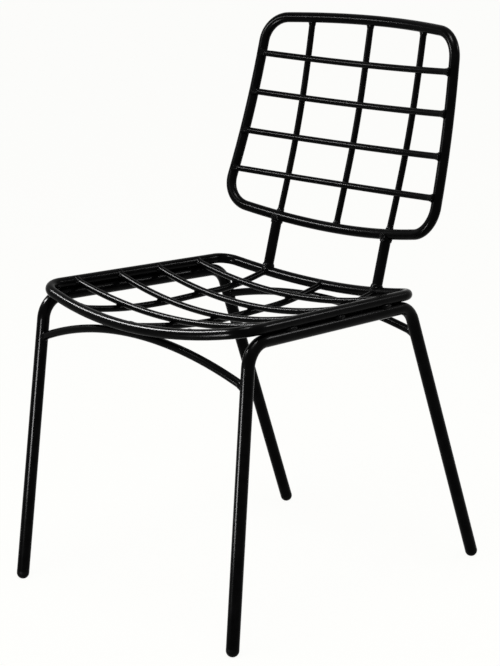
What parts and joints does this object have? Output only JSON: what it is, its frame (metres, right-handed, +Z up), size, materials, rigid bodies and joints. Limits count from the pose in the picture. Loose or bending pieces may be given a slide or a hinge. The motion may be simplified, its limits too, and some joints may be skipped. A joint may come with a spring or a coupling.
{
  "type": "wire mesh dining chair",
  "caption": "Dining chair of welded steel tube and bar with an open wire grid seat and reclined wire grid back, in gloss black powder coat.",
  "frame": {"origin": "on the floor, in the middle of the chair's width and midway between the front and rear feet, which is the middle of its outline from above", "axes": "+Z is up, -Y is the way the chair faces, +X is the sitter's left"},
  "size_m": [0.4694, 0.577, 0.8337],
  "materials": {
    "frame_coat": "gloss black powder coat on welded steel",
    "foot_plastic": "black moulded foot plug, semi-gloss"
  },
  "bodies": {
    "root": {"leg_hoop_left": "frame_coat", "leg_hoop_right": "frame_coat", "foot_plug_front_left": "foot_plastic", "foot_plug_front_right": "foot_plastic", "foot_plug_rear_left": "foot_plastic", "foot_plug_rear_right": "foot_plastic", "front_stretcher": "frame_coat", "rear_stretcher": "frame_coat", "seat_ring": "frame_coat", "seat_cross_wire_1": "frame_coat", "seat_cross_wire_2": "frame_coat", "seat_cross_wire_3": "frame_coat", "seat_cross_wire_4": "frame_coat", "seat_long_wire_left": "frame_coat", "seat_long_wire_centre": "frame_coat", "seat_long_wire_right": "frame_coat", "back_post_left": "frame_coat", "back_post_right": "frame_coat", "back_ring": "frame_coat", "back_cross_wire_1": "frame_coat", "back_cross_wire_2": "frame_coat", "back_cross_wire_3": "frame_coat", "back_cross_wire_4": "frame_coat", "back_upright_wire_left": "frame_coat", "back_upright_wire_centre": "frame_coat", "back_upright_wire_right": "frame_coat", "seat_ring_welds": "frame_coat", "stretcher_welds": "frame_coat", "crown_weld": "frame_coat", "post_welds": "frame_coat", "seat_wire_end_welds": "frame_coat", "seat_crossing_welds": "frame_coat", "back_wire_end_welds": "frame_coat", "back_crossing_welds": "frame_coat"}
  },
  "joints": []
}
